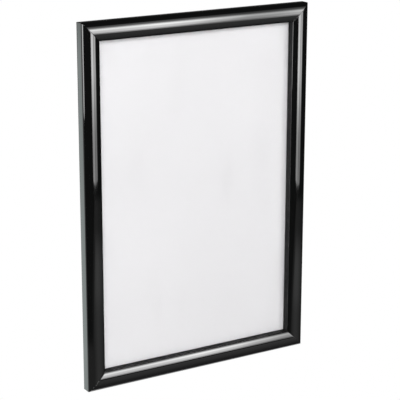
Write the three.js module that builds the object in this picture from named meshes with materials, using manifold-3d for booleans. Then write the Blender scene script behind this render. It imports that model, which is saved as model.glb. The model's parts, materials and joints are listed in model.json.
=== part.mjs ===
// A gloss black poster frame for the wall. Four mitred rails of one moulding hold clear
// glazing, a white insert and a backing board, which turn buttons keep in from the rear.
// Millimetres, Z up, X to the right as seen from the front. The wall is the plane y = 0,
// the frame's front faces -Y, and the origin lies on the wall behind the frame's centre.

import * as THREE from 'three';
import { mergeVertices } from 'three/addons/utils/BufferGeometryUtils.js';
import Module from 'manifold-3d';

// Sheets held in the rebate
const sheetWidth = 406;
const sheetHeight = 610;
const glazingThickness = 1.5;
const insertThickness = 0.3;
const backingThickness = 3;

// Clearances between neighbours
const seatGap = 0.3;
const sheetSideClearance = 1;
const mitreGap = 0.3;
const fitClearance = 0.3;

// Rail section: width runs inward from the outer edge, depth runs forward from the rear
const railWidth = 33;
const railDepth = 23;
const rebateWidth = 7;
const crownRadius = 48;
const crownShare = 0.5;
const shoulderRadius = 5.5;
const lipRadius = 1.4;

// V-nails across each mitre, placed by shares of the rail's flat rear
const vNailHeight = 10;
const vNailLeg = 5.5;
const vNailThickness = 0.6;
const vNailAngle = THREE.MathUtils.degToRad(100);
const vNailShares = [0.35, 0.75];

// Turn buttons
const buttonThickness = 1.2;
const buttonRadius = 6;
const buttonTipRadius = 4;
const buttonReach = 20;
const buttonSpacingAcross = 200;
const buttonStrapClearance = 18.6;

// Pan-head screws
const screwRadius = 1.5;
const screwLength = 12;
const screwPointLength = 2.5;
const screwHeadRadius = 3;
const screwHeadHeight = 2;
const screwHeadShares = [[1, 0], [1, 0.4], [0.86, 0.78], [0.58, 1], [0, 1]];
const recessLength = 3.2;
const recessWidth = 0.8;
const recessDepth = 1.2;

// Strap hangers and their D-rings
const hangerDrop = 130;
const strapWidth = 12;
const strapThickness = 1;
const strapRollAngle = THREE.MathUtils.degToRad(290);
const strapScrewSpacing = 10;
const ringWireRadius = 1.2;
const ringInnerWidth = 14;
const ringLeg = 4;
const ringCornerRadius = 2;
const ringScrewClearance = 1;

// Wall bumpers
const bumperRadius = 6;
const bumperHeight = 6;
const bumperEdgeRadius = 2.5;
const bumperSideDistance = 40;

// Fineness of the round shapes, and how far a cut runs past the face that it opens
const arcSteps = 8;
const roundSides = 16;
const wireSides = 10;
const cutOverrun = 1;

// Sizes that follow from those above
const rebateDepth = 3 * seatGap + glazingThickness + insertThickness + backingThickness;
const rearWidth = railWidth - rebateWidth;
const frameWidth = sheetWidth + 2 * (sheetSideClearance + rearWidth);
const frameHeight = sheetHeight + 2 * (sheetSideClearance + rearWidth);
const rearPlane = -(seatGap + bumperHeight);
const rearMiddle = rearWidth / 2;
const holeRadius = screwRadius + fitClearance;
const eyeInnerRadius = ringWireRadius + fitClearance;
const eyeOuterRadius = eyeInnerRadius + strapThickness;
const ringHalfWidth = ringInnerWidth / 2 + ringWireRadius;
const ringReach = ringLeg + ringHalfWidth + ringWireRadius;
const upperScrewDrop = ringReach + ringScrewClearance + screwHeadRadius;
const lowerScrewDrop = upperScrewDrop + strapScrewSpacing;
const strapFootDrop = lowerScrewDrop + strapWidth / 2;
const ringHeight = frameHeight / 2 - hangerDrop;
const sideButtonHeight = ringHeight - strapFootDrop - buttonStrapClearance - buttonReach;

const finishes = {
  rail: { color: 0x0a0b0c, roughness: 0.12, metalness: 0 },
  glazing: { color: 0xf2f5f6, roughness: 0.05, metalness: 0 },
  insert: { color: 0xf6f6f4, roughness: 0.85, metalness: 0 },
  backing: { color: 0x7a5a3e, roughness: 0.8, metalness: 0 },
  steel: { color: 0xb4b7ba, roughness: 0.35, metalness: 1 },
  nail: { color: 0x8d9094, roughness: 0.45, metalness: 1 },
  rubber: { color: 0x1c1c1d, roughness: 0.9, metalness: 0 },
};

const wasm = await Module();
wasm.setup();

function toSolid(geometry) {
  const bare = geometry.clone();
  bare.deleteAttribute('normal');
  bare.deleteAttribute('uv');
  const welded = mergeVertices(bare);
  const corners = [];
  for (let i = 0; i < welded.index.count; i += 3) {
    const [a, b, c] = [0, 1, 2].map((k) => welded.index.getX(i + k));
    if (a !== b && b !== c && c !== a) corners.push(a, b, c);
  }
  return new wasm.Manifold(new wasm.Mesh({
    numProp: 3,
    vertProperties: welded.attributes.position.array,
    triVerts: new Uint32Array(corners),
  }));
}

function toGeometry(solid) {
  const mesh = solid.getMesh();
  const geometry = new THREE.BufferGeometry();
  geometry.setAttribute('position', new THREE.BufferAttribute(Float32Array.from(mesh.vertProperties), 3));
  geometry.setIndex(new THREE.BufferAttribute(Uint32Array.from(mesh.triVerts), 1));
  geometry.computeVertexNormals();
  return geometry;
}

function cut(geometry, cutters) {
  let solid = toSolid(geometry);
  for (const cutter of cutters) solid = solid.subtract(toSolid(cutter));
  return toGeometry(solid);
}

function addPiece(group, name, geometry, finish) {
  const mesh = new THREE.Mesh(geometry, new THREE.MeshStandardMaterial(finishes[finish]));
  mesh.name = name;
  group.add(mesh);
  return mesh;
}

function arcPoints(centreX, centreY, radius, start, end, steps) {
  const points = [];
  for (let i = 0; i <= steps; i += 1) {
    const angle = start + (end - start) * (i / steps);
    points.push(new THREE.Vector2(centreX + radius * Math.cos(angle), centreY + radius * Math.sin(angle)));
  }
  return points;
}

// A hole along Y whose mouth is at the given place and whose floor is depth further to -Y
function holeCutter(x, mouth, z, depth) {
  const cutter = new THREE.CylinderGeometry(holeRadius, holeRadius, depth + cutOverrun, roundSides);
  return cutter.translate(x, mouth + (cutOverrun - depth) / 2, z);
}

// The moulding's section, x inward and y forward: a straight outer wall, a round shoulder,
// a gently crowned face, a small round at the sight edge, and the rebate behind it.
function railSection() {
  const crown = new THREE.Vector2(railWidth * crownShare, railDepth - crownRadius);
  const shoulderX = shoulderRadius;
  const shoulderY = crown.y + Math.sqrt((crownRadius - shoulderRadius) ** 2 - (crown.x - shoulderX) ** 2);
  const lipX = railWidth - lipRadius;
  const lipY = crown.y + Math.sqrt((crownRadius - lipRadius) ** 2 - (lipX - crown.x) ** 2);
  const shoulderTurn = Math.atan2(shoulderY - crown.y, shoulderX - crown.x);
  const lipTurn = Math.atan2(lipY - crown.y, lipX - crown.x);
  return new THREE.Shape([
    new THREE.Vector2(0, 0),
    ...arcPoints(shoulderX, shoulderY, shoulderRadius, Math.PI, shoulderTurn, arcSteps),
    ...arcPoints(crown.x, crown.y, crownRadius, shoulderTurn, lipTurn, arcSteps).slice(1),
    ...arcPoints(lipX, lipY, lipRadius, lipTurn, 0, arcSteps / 2).slice(1),
    new THREE.Vector2(railWidth, rebateDepth),
    new THREE.Vector2(rearWidth, rebateDepth),
    new THREE.Vector2(rearWidth, 0),
  ]);
}

// A rail with mitred ends. X runs along it, its rear lies at y = 0 and its outer edge at z = 0.
function mitredRail(length) {
  const geometry = new THREE.ExtrudeGeometry(railSection(), { depth: length, bevelEnabled: false });
  const place = geometry.attributes.position;
  for (let i = 0; i < place.count; i += 1) {
    const inward = place.getX(i);
    const forward = place.getY(i);
    const halfLength = length / 2 - inward - mitreGap / Math.SQRT2;
    const side = place.getZ(i) > length / 2 ? -1 : 1;
    place.setXYZ(i, side * halfLength, -forward, -inward);
  }
  return geometry;
}

// A V-nail from the rear: its point towards -x and its legs opening towards +x
function vNailOutline(clearance) {
  const half = vNailAngle / 2;
  const wall = vNailThickness / 2 + clearance;
  const leg = vNailLeg + clearance;
  const point = wall / Math.sin(half);
  const tip = new THREE.Vector2(leg * Math.cos(half), leg * Math.sin(half));
  const across = new THREE.Vector2(-wall * Math.sin(half), wall * Math.cos(half));
  return new THREE.Shape([
    new THREE.Vector2(-point, 0),
    new THREE.Vector2(tip.x + across.x, -tip.y - across.y),
    new THREE.Vector2(tip.x - across.x, -tip.y + across.y),
    new THREE.Vector2(point, 0),
    new THREE.Vector2(tip.x - across.x, tip.y - across.y),
    new THREE.Vector2(tip.x + across.x, tip.y + across.y),
  ]);
}

// Extrudes a plan drawn in x and z forward to -Y, from the plane y = back
function extrudeForward(outline, depth, back) {
  const geometry = new THREE.ExtrudeGeometry(outline, { depth, bevelEnabled: false });
  return geometry.rotateX(Math.PI / 2).translate(0, back, 0);
}

function vNailSlots(length) {
  const slots = [];
  for (const share of vNailShares) {
    const inset = share * rearWidth;
    for (const side of [-1, 1]) {
      const depth = vNailHeight + fitClearance + cutOverrun;
      const slot = extrudeForward(vNailOutline(fitClearance), depth, cutOverrun);
      slot.rotateY(-Math.PI / 2 + side * Math.PI / 4);
      slots.push(slot.translate(side * (length / 2 - inset), 0, -inset));
    }
  }
  return slots;
}

// A pan-head screw on the Y axis with its head's underside at y = 0 and its head towards +Y
function screwGeometry() {
  const shank = [
    new THREE.Vector2(0, -screwLength),
    new THREE.Vector2(screwRadius, screwPointLength - screwLength),
    new THREE.Vector2(screwRadius, 0),
  ];
  const head = screwHeadShares.map(([out, up]) => new THREE.Vector2(out * screwHeadRadius, up * screwHeadHeight));
  const body = new THREE.LatheGeometry([...shank, ...head], roundSides);
  const height = recessDepth + cutOverrun;
  const middle = screwHeadHeight + (cutOverrun - recessDepth) / 2;
  const slots = [
    new THREE.BoxGeometry(recessLength, height, recessWidth).translate(0, middle, 0),
    new THREE.BoxGeometry(recessWidth, height, recessLength).translate(0, middle, 0),
  ];
  return cut(body, slots);
}

function addScrew(group, name, x, plateFace, z) {
  addPiece(group, name, screwGeometry(), 'steel').position.set(x, plateFace + seatGap, z);
}

function pilotDepth(plateFace) {
  return screwLength - (plateFace + seatGap) + fitClearance;
}

// A turn button on its rail: pivot at the origin, tip towards -Z, flat against the rear
function buttonGeometry() {
  const tipDistance = buttonReach - buttonTipRadius;
  const flank = Math.asin((buttonRadius - buttonTipRadius) / tipDistance);
  const outline = new THREE.Shape([
    ...arcPoints(0, 0, buttonRadius, -flank, Math.PI + flank, 2 * arcSteps),
    ...arcPoints(0, -tipDistance, buttonTipRadius, Math.PI + flank, 2 * Math.PI - flank, arcSteps),
  ]);
  outline.holes.push(new THREE.Path(arcPoints(0, 0, holeRadius, 0, 2 * Math.PI, roundSides).slice(1)));
  return extrudeForward(outline, buttonThickness, seatGap + buttonThickness);
}

function addButton(group, label, x) {
  addPiece(group, `turn_button_${label}`, buttonGeometry(), 'steel').position.set(x, 0, -rearMiddle);
  addScrew(group, `button_screw_${label}`, x, seatGap + buttonThickness, -rearMiddle);
}

// A rail with its turn buttons, turned about Y so that it faces the frame's centre
function addRail(frame, spec) {
  const group = new THREE.Group();
  group.position.set(spec.x, rearPlane, spec.z);
  group.rotation.y = spec.turn;
  const cutters = vNailSlots(spec.length);
  for (const button of spec.buttons) {
    const depth = pilotDepth(seatGap + buttonThickness);
    cutters.push(holeCutter(button.along, 0, -rearMiddle, depth));
    addButton(group, button.label, button.along);
  }
  for (const along of spec.hangerHoles) {
    cutters.push(holeCutter(along, 0, -rearMiddle, pilotDepth(seatGap + strapThickness)));
  }
  addPiece(group, `rail_${spec.name}`, cut(mitredRail(spec.length), cutters), 'rail');
  frame.add(group);
}

function addRails(frame) {
  const acrossPlace = buttonSpacingAcross / 2;
  const holes = [ringHeight - upperScrewDrop, ringHeight - lowerScrewDrop];
  addRail(frame, {
    name: 'top', length: frameWidth, x: 0, z: frameHeight / 2, turn: 0, hangerHoles: [],
    buttons: [{ label: 'top_left', along: -acrossPlace }, { label: 'top_right', along: acrossPlace }],
  });
  addRail(frame, {
    name: 'bottom', length: frameWidth, x: 0, z: -frameHeight / 2, turn: Math.PI, hangerHoles: [],
    buttons: [{ label: 'bottom_left', along: acrossPlace }, { label: 'bottom_right', along: -acrossPlace }],
  });
  addRail(frame, {
    name: 'left', length: frameHeight, x: -frameWidth / 2, z: 0, turn: -Math.PI / 2, hangerHoles: holes,
    buttons: [{ label: 'left_upper', along: sideButtonHeight }, { label: 'left_lower', along: -sideButtonHeight }],
  });
  addRail(frame, {
    name: 'right', length: frameHeight, x: frameWidth / 2, z: 0, turn: Math.PI / 2,
    hangerHoles: holes.map((height) => -height),
    buttons: [{ label: 'right_upper', along: -sideButtonHeight }, { label: 'right_lower', along: sideButtonHeight }],
  });
}

function addSheet(frame, name, thickness, rear, finish) {
  const sheet = addPiece(frame, name, new THREE.BoxGeometry(sheetWidth, thickness, sheetHeight), finish);
  sheet.position.y = rearPlane - rear - thickness / 2;
}

function addSheets(frame) {
  const insertRear = backingThickness + seatGap;
  const glazingRear = insertRear + insertThickness + seatGap;
  addSheet(frame, 'backing_board', backingThickness, 0, 'backing');
  addSheet(frame, 'insert_sheet', insertThickness, insertRear, 'insert');
  addSheet(frame, 'glazing', glazingThickness, glazingRear, 'glazing');
}

function addVNails(frame) {
  for (const [upName, up] of [['top', 1], ['bottom', -1]]) {
    for (const [sideName, side] of [['left', -1], ['right', 1]]) {
      vNailShares.forEach((share, i) => {
        const inset = share * rearWidth;
        const name = `v_nail_${upName}_${sideName}_${i + 1}`;
        const nail = addPiece(frame, name, extrudeForward(vNailOutline(0), vNailHeight, 0), 'nail');
        nail.rotation.y = Math.atan2(-up, side);
        nail.position.set(side * (frameWidth / 2 - inset), rearPlane, up * (frameHeight / 2 - inset));
      });
    }
  }
}

// The strap from the side, x away from the rail and y up, with the ring's bar at height 0:
// a flat leaf on the rail that rolls over the bar into an open eye
function strapSideView() {
  const end = Math.PI - strapRollAngle;
  return new THREE.Shape([
    new THREE.Vector2(0, -strapFootDrop),
    new THREE.Vector2(strapThickness, -strapFootDrop),
    ...arcPoints(eyeOuterRadius, 0, eyeInnerRadius, Math.PI, end, 2 * arcSteps),
    ...arcPoints(eyeOuterRadius, 0, eyeOuterRadius, end, Math.PI, 2 * arcSteps),
  ]);
}

// The strap from the rear: square at the eye and round at the foot
function strapPlan() {
  const half = strapWidth / 2;
  return new THREE.Shape([
    new THREE.Vector2(half, eyeOuterRadius + cutOverrun),
    new THREE.Vector2(-half, eyeOuterRadius + cutOverrun),
    ...arcPoints(0, -lowerScrewDrop, half, Math.PI, 2 * Math.PI, arcSteps),
  ]);
}

function strapGeometry() {
  const rolled = new THREE.ExtrudeGeometry(strapSideView(), {
    depth: strapWidth + 2 * cutOverrun,
    bevelEnabled: false,
  });
  const sideToFront = new THREE.Matrix4().makeBasis(
    new THREE.Vector3(0, 1, 0),
    new THREE.Vector3(0, 0, 1),
    new THREE.Vector3(1, 0, 0),
  );
  rolled.applyMatrix4(sideToFront).translate(-strapWidth / 2 - cutOverrun, 0, 0);
  const depth = 2 * (eyeOuterRadius + cutOverrun);
  const plan = extrudeForward(strapPlan(), depth, 2 * eyeOuterRadius + cutOverrun);
  const leaf = toGeometry(toSolid(rolled).intersect(toSolid(plan)));
  const holes = [upperScrewDrop, lowerScrewDrop].map((drop) => (
    holeCutter(0, strapThickness, -drop, strapThickness + cutOverrun)
  ));
  return cut(leaf, holes);
}

// A closed wire through stations that lie in one plane y = 0, each with its outward direction
function closedWire(stations) {
  const positions = [];
  const index = [];
  const count = stations.length;
  stations.forEach((station, i) => {
    for (let j = 0; j < wireSides; j += 1) {
      const angle = (2 * Math.PI * j) / wireSides;
      const out = ringWireRadius * Math.cos(angle);
      positions.push(station.x + out * station.outX, ringWireRadius * Math.sin(angle), station.z + out * station.outZ);
      const next = ((i + 1) % count) * wireSides;
      const turn = (j + 1) % wireSides;
      index.push(i * wireSides + j, next + j, next + turn);
      index.push(i * wireSides + j, next + turn, i * wireSides + turn);
    }
  });
  const geometry = new THREE.BufferGeometry();
  geometry.setAttribute('position', new THREE.Float32BufferAttribute(positions, 3));
  geometry.setIndex(index);
  geometry.computeVertexNormals();
  return geometry;
}

function stationsOnArc(centreX, centreZ, radius, start, end, steps) {
  return arcPoints(0, 0, 1, start, end, steps).map((out) => ({
    x: centreX + radius * out.x, z: centreZ + radius * out.y, outX: out.x, outZ: out.y,
  }));
}

// The D-ring hanging from its bar, which lies along X at the origin
function ringGeometry() {
  const cornerX = ringHalfWidth - ringCornerRadius;
  return closedWire([
    ...stationsOnArc(cornerX, -ringCornerRadius, ringCornerRadius, Math.PI / 2, 0, arcSteps / 2),
    ...stationsOnArc(0, -ringLeg, ringHalfWidth, 0, -Math.PI, 2 * arcSteps),
    ...stationsOnArc(-cornerX, -ringCornerRadius, ringCornerRadius, Math.PI, Math.PI / 2, arcSteps / 2),
  ]);
}

function addHangers(frame) {
  for (const [name, side] of [['left', -1], ['right', 1]]) {
    const group = new THREE.Group();
    group.position.set(side * (frameWidth / 2 - rearMiddle), rearPlane, ringHeight);
    addPiece(group, `hanger_strap_${name}`, strapGeometry(), 'steel').position.y = seatGap;
    addPiece(group, `hanger_ring_${name}`, ringGeometry(), 'steel').position.y = seatGap + eyeOuterRadius;
    addScrew(group, `hanger_screw_${name}_upper`, 0, seatGap + strapThickness, -upperScrewDrop);
    addScrew(group, `hanger_screw_${name}_lower`, 0, seatGap + strapThickness, -lowerScrewDrop);
    frame.add(group);
  }
}

// A round bumper that stands on the rail's rear and reaches the wall
function bumperGeometry() {
  const edgeX = bumperRadius - bumperEdgeRadius;
  const edgeY = bumperHeight - bumperEdgeRadius;
  return new THREE.LatheGeometry([
    new THREE.Vector2(0, 0),
    new THREE.Vector2(bumperRadius, 0),
    ...arcPoints(edgeX, edgeY, bumperEdgeRadius, 0, Math.PI / 2, arcSteps / 2),
    new THREE.Vector2(0, bumperHeight),
  ], roundSides);
}

function addBumpers(frame) {
  const height = rearMiddle - frameHeight / 2;
  for (const [name, side] of [['left', -1], ['right', 1]]) {
    const bumper = addPiece(frame, `wall_bumper_${name}`, bumperGeometry(), 'rubber');
    bumper.position.set(side * (frameWidth / 2 - bumperSideDistance), rearPlane + seatGap, height);
  }
}

const frame = new THREE.Group();
addRails(frame);
addSheets(frame);
addVNails(frame);
addHangers(frame);
addBumpers(frame);

export default frame;
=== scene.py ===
"""Gives a packed poster frame its looks: gloss black moulding, sheets and rear hardware.

Metres, Z up. The wall is the plane y = 0, the front faces -Y, and the rear hardware faces +Y.
"""

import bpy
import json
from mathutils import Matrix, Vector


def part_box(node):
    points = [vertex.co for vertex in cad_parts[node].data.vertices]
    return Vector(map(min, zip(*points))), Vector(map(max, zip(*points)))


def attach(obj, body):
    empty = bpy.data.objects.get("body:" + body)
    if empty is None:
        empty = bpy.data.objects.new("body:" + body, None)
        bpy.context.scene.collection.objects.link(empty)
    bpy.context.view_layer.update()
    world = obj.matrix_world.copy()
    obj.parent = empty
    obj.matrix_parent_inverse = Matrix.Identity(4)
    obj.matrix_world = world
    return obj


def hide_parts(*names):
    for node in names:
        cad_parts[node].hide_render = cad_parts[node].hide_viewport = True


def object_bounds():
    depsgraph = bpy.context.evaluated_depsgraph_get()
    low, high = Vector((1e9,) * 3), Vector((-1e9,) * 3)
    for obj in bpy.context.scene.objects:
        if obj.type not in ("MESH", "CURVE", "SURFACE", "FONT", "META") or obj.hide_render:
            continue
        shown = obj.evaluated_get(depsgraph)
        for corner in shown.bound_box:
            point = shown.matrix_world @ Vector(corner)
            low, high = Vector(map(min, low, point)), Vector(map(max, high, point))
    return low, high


bl_info = {
    "name": "Poster Frame",
    "version": (1, 0, 0),
    "blender": (4, 5, 0),
    "location": "View3D > Sidebar > Poster Frame",
    "description": "Builds a mitred gloss black poster frame with its sheets and hanging hardware",
    "category": "Add Mesh",
}

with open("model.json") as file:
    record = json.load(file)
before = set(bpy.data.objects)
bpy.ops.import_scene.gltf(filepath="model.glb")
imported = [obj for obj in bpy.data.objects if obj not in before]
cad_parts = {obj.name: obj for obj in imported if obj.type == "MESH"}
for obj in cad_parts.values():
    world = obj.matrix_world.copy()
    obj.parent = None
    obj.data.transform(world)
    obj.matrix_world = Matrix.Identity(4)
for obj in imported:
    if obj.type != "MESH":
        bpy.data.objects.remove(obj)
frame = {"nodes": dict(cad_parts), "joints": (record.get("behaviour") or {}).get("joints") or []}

import json
from math import asin, atan2, cos, hypot, pi, radians, sin, sqrt, tan

import bmesh
import bpy
from bpy.props import FloatProperty, FloatVectorProperty, IntProperty, PointerProperty
from mathutils import Matrix, Vector

MM = 0.001
MICRON = 0.000001
WHITE = (1, 1, 1, 1)
NOISE_RANGE = (0.3, 0.7)
SEAT_GAP = 0.3 * MM
CAD_LOW, CAD_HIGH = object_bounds()
PIVOTS = {joint["child"]: Vector(joint["pos_m"]) for joint in frame["joints"]}
RAIL_LOW, RAIL_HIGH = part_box("rail_left")
REAR_PLANE = RAIL_HIGH.y
SEAT_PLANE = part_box("glazing")[0].y - SEAT_GAP
OUTER_WIDTH = CAD_HIGH.x - CAD_LOW.x
OUTER_HEIGHT = CAD_HIGH.z - CAD_LOW.z


# Shapes


def arc(centre, radius, start, end, steps):
    """Points on an arc in a plane, both ends included."""
    points = []
    for i in range(steps + 1):
        angle = start + (end - start) * i / steps
        x, y = radius * cos(angle), radius * sin(angle)
        points.append(Vector((centre[0] + x, centre[1] + y)))
    return points


def quarter_turn(steps):
    """Angles from nothing to a right angle."""
    return [pi / 2 * i / steps for i in range(steps + 1)]


def circle(radius, sides):
    """Points on a circle, as pairs."""
    angles = [2 * pi * k / sides for k in range(sides)]
    return [(radius * cos(angle), radius * sin(angle)) for angle in angles]


def rounded_corner(before, at, after, radius, steps=4):
    """The corner of an outline as a small arc that is tangent to both of its sides."""
    before, at, after = Vector(before), Vector(at), Vector(after)
    one, two = (before - at).normalized(), (after - at).normalized()
    half = one.angle(two) / 2
    centre = at + (one + two).normalized() * (radius / sin(half))
    first = at + one * (radius / tan(half)) - centre
    last = at + two * (radius / tan(half)) - centre
    start = atan2(first.y, first.x)
    sweep = (atan2(last.y, last.x) - start + pi) % (2 * pi) - pi
    return arc(centre, radius, start, start + sweep, steps)


def outward_normals(outline):
    """The outward direction at each point of a closed outline."""
    count = len(outline)
    area = sum(outline[i - 1].cross(outline[i]) for i in range(count))
    side = 1 if area > 0 else -1
    normals = []
    for i in range(count):
        along = (outline[(i + 1) % count] - outline[i - 1]).normalized()
        normals.append(Vector((along.y, -along.x)) * side)
    return normals


def bridge_rings(bm, rings, closed=False):
    """Quads between rings of vertices that have the same count."""
    pairs = list(zip(rings, rings[1:]))
    if closed:
        pairs.append((rings[-1], rings[0]))
    for one, two in pairs:
        for i in range(len(one)):
            j = (i + 1) % len(one)
            bm.faces.new((one[i], one[j], two[j], two[i]))


def turned(bm, profile, sides):
    """A body of revolution about Y from (radius, y) points that start and end on the axis."""
    rings = []
    for radius, y in profile[1:-1]:
        rings.append([bm.verts.new((x, y, z)) for x, z in circle(radius, sides)])
    bridge_rings(bm, rings)
    for ring, (_, y) in ((rings[0], profile[0]), (rings[-1], profile[-1])):
        tip = bm.verts.new((0, y, 0))
        for k in range(sides):
            bm.faces.new((ring[k], ring[(k + 1) % sides], tip))


def mesh_from(name, bm):
    """The mesh that a bmesh holds. The bmesh is freed."""
    mesh = bpy.data.meshes.new(name)
    bm.to_mesh(mesh)
    bm.free()
    return mesh


def add_object(name, data):
    thing = bpy.data.objects.new(name, data)
    bpy.context.scene.collection.objects.link(thing)
    return thing


def mark_worn_edges(mesh, full_turn=radians(50)):
    """Stores how sharply the surface turns at each vertex, for the wear in the materials."""
    bm = bmesh.new()
    bm.from_mesh(mesh)
    turns = []
    for vertex in bm.verts:
        angles = [abs(edge.calc_face_angle(0)) for edge in vertex.link_edges]
        turns.append(min(1, max(angles, default=0) / full_turn))
    bm.free()
    attribute = mesh.attributes.new("worn", "FLOAT", "POINT")
    attribute.data.foreach_set("value", turns)


def make_piece(name, bm, material, body, stands_for, where, crease, turn=0):
    """Turns a bmesh into a finished piece that rides on a body and stands for a CAD node."""
    placing = Matrix.Translation(where) @ Matrix.Rotation(turn, 4, "Y")
    bmesh.ops.transform(bm, matrix=placing, verts=bm.verts)
    bmesh.ops.recalc_face_normals(bm, faces=bm.faces)
    mesh = mesh_from(name, bm)
    mesh.shade_smooth()
    mesh.set_sharp_from_angle(angle=radians(crease))
    mark_worn_edges(mesh)
    mesh.materials.append(material)
    piece = add_object(name, mesh)
    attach(piece, body)
    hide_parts(stands_for)
    return piece


def dress(node, material):
    """Gives a carried-over CAD node its material."""
    piece = frame["nodes"][node]
    for slot in piece.material_slots:
        slot.link = "OBJECT"
        slot.material = material


# Materials


class Nodes:
    """A node tree under construction: shader nodes are added by kind, with inputs by name."""

    def __init__(self, tree):
        self.tree = tree
        tree.nodes.clear()

    def add(self, kind, inputs=None, **settings):
        node = self.tree.nodes.new(f"ShaderNode{kind}")
        for key, value in settings.items():
            setattr(node, key, value)
        for key, value in (inputs or {}).items():
            if isinstance(value, bpy.types.NodeSocket):
                self.tree.links.new(value, node.inputs[key])
            else:
                node.inputs[key].default_value = value
        return node

    def level(self, value, low, high, to_low=0, to_high=1, smooth=True):
        """Carries a value from one range over to another, held at both ends."""
        kind = "SMOOTHSTEP" if smooth else "LINEAR"
        inputs = {"Value": value, 1: low, 2: high, 3: to_low, 4: to_high}
        return self.add("MapRange", inputs, interpolation_type=kind).outputs["Result"]

    def maths(self, operation, one, two=0.0):
        return self.add("Math", {0: one, 1: two}, operation=operation).outputs["Value"]

    def times(self, one, two):
        return self.maths("MULTIPLY", one, two)

    def largest(self, one, two):
        return self.maths("MAXIMUM", one, two)

    def either(self, share, one, two):
        """A shader between two others."""
        return self.add("MixShader", {0: share, 1: one, 2: two}).outputs[0]

    def ramp(self, value, stops):
        """Follows (place, level) stops with eased steps."""
        node = self.add("ValToRGB", {0: value})
        node.color_ramp.interpolation = "EASE"
        elements = node.color_ramp.elements
        while len(elements) < len(stops):
            elements.new(0.5)
        for element, (position, level) in zip(elements, stops):
            element.position = position
            element.color = (level, level, level, 1)
        return node.outputs["Color"]


class Finish(Nodes):
    """A material under construction."""

    def __init__(self, name):
        self.material = bpy.data.materials.get(name) or bpy.data.materials.new(name)
        self.material.use_nodes = True
        super().__init__(self.material.node_tree)

    def attribute(self, name, output):
        return self.add("Attribute", attribute_name=name).outputs[output]

    def noise(self, scale, detail, stretch=(1, 1, 1), where=None, roughness=0.5, distortion=0):
        """Noise over places in metres on the piece, or over others, stretched along the axes."""
        where = where or self.add("TexCoord").outputs["Object"]
        where = self.add("Mapping", {"Vector": where, "Scale": stretch}).outputs[0]
        inputs = {"Vector": where, "Scale": scale, "Detail": detail}
        inputs.update({"Roughness": roughness, "Distortion": distortion})
        return self.add("TexNoise", inputs).outputs["Fac"]

    def spread(self, noise, least=0, most=1):
        """Carries the range that a noise mostly has over to another."""
        return self.level(noise, *NOISE_RANGE, least, most)

    def blend(self, share, one, two):
        return self.add("Mix", {0: share, 6: one, 7: two}, data_type="RGBA").outputs[2]

    def shades(self, share, colour, dark=1, light=1):
        """A colour that varies between two of its shades."""
        return self.blend(share, solid(colour, dark), solid(colour, light))

    def spots(self, under, over, noise, low, high, share=1):
        """Lays a colour over another where a noise runs from low to high."""
        return self.blend(self.level(noise, low, high, 0, share), under, over)

    def bump(self, height, strength, distance, normal=None):
        inputs = {"Height": height, "Strength": strength, "Distance": distance}
        if normal is not None:
            inputs["Normal"] = normal
        return self.add("Bump", inputs).outputs["Normal"]

    def show(self, shader):
        self.add("OutputMaterial", {"Surface": shader})
        return self.material

    def principled(self, colour, rough, normal, **more):
        inputs = {"Base Color": colour, "Roughness": rough, "Normal": normal}
        inputs.update({key.replace("_", " "): value for key, value in more.items()})
        return self.show(self.add("BsdfPrincipled", inputs).outputs["BSDF"])


def solid(colour, factor=1.0):
    """A colour for a node, lighter or darker by a factor."""
    return (*[min(1.0, channel * factor) for channel in colour[:3]], 1.0)


def gloss_black(look):
    """Extruded moulding in gloss black: faint draw lines, a slight ripple, and worn corners."""
    rubbed_bare, rubbed_dull, cloudy = 0.5, 0.22, 1.4
    f = Finish("gloss black moulding")
    grain = f.attribute("grain", "Vector")
    lines = f.noise(scale=1, detail=2, stretch=(6, 900, 1), where=grain)
    clouds = f.noise(scale=9, detail=4)
    ripple = f.noise(scale=120, detail=2)
    worn = f.attribute("worn", "Fac")
    rubbed = f.times(f.level(worn, low=0.15, high=0.9), f.level(clouds, low=0.42, high=0.66))
    face = f.shades(clouds, look.colour, dark=0.8, light=1.3)
    colour = f.blend(f.times(rubbed, rubbed_bare), face, solid(look.worn_colour))
    polish = f.spread(clouds, look.roughness, look.roughness * cloudy)
    streaked = f.maths("ADD", polish, f.level(lines, low=0.35, high=0.7, to_high=0.008))
    rough = f.maths("ADD", streaked, f.times(rubbed, rubbed_dull))
    fine = f.bump(lines, strength=0.35, distance=4 * MICRON)
    fine = f.bump(ripple, strength=0.5, distance=12 * MICRON, normal=fine)
    return f.principled(colour, rough, fine, IOR=1.75, Specular_IOR_Level=0.9)


def bare_black(look):
    """The moulding's unpolished black behind the sight edge: sawn streaks, specks and scuffs."""
    scuffed = 2.4
    f = Finish("bare black moulding")
    grain = f.attribute("grain", "Vector")
    streaks = f.noise(scale=1, detail=3, stretch=(14, 1400, 1), where=grain)
    specks = f.noise(scale=2600, detail=2)
    scuffs = f.noise(scale=38, detail=5, stretch=(1, 1, 2), roughness=0.65)
    colour = f.shades(streaks, look.bare_colour, dark=0.7, light=1.3)
    colour = f.spots(colour, solid(look.bare_colour, scuffed), scuffs, low=0.6, high=0.75, share=0.7)
    rough = f.spread(scuffs, least=0.66, most=0.85)
    fine = f.bump(streaks, strength=0.6, distance=30 * MICRON)
    fine = f.bump(specks, strength=0.5, distance=60 * MICRON, normal=fine)
    return f.principled(colour, rough, fine, Specular_IOR_Level=0.2)


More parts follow.
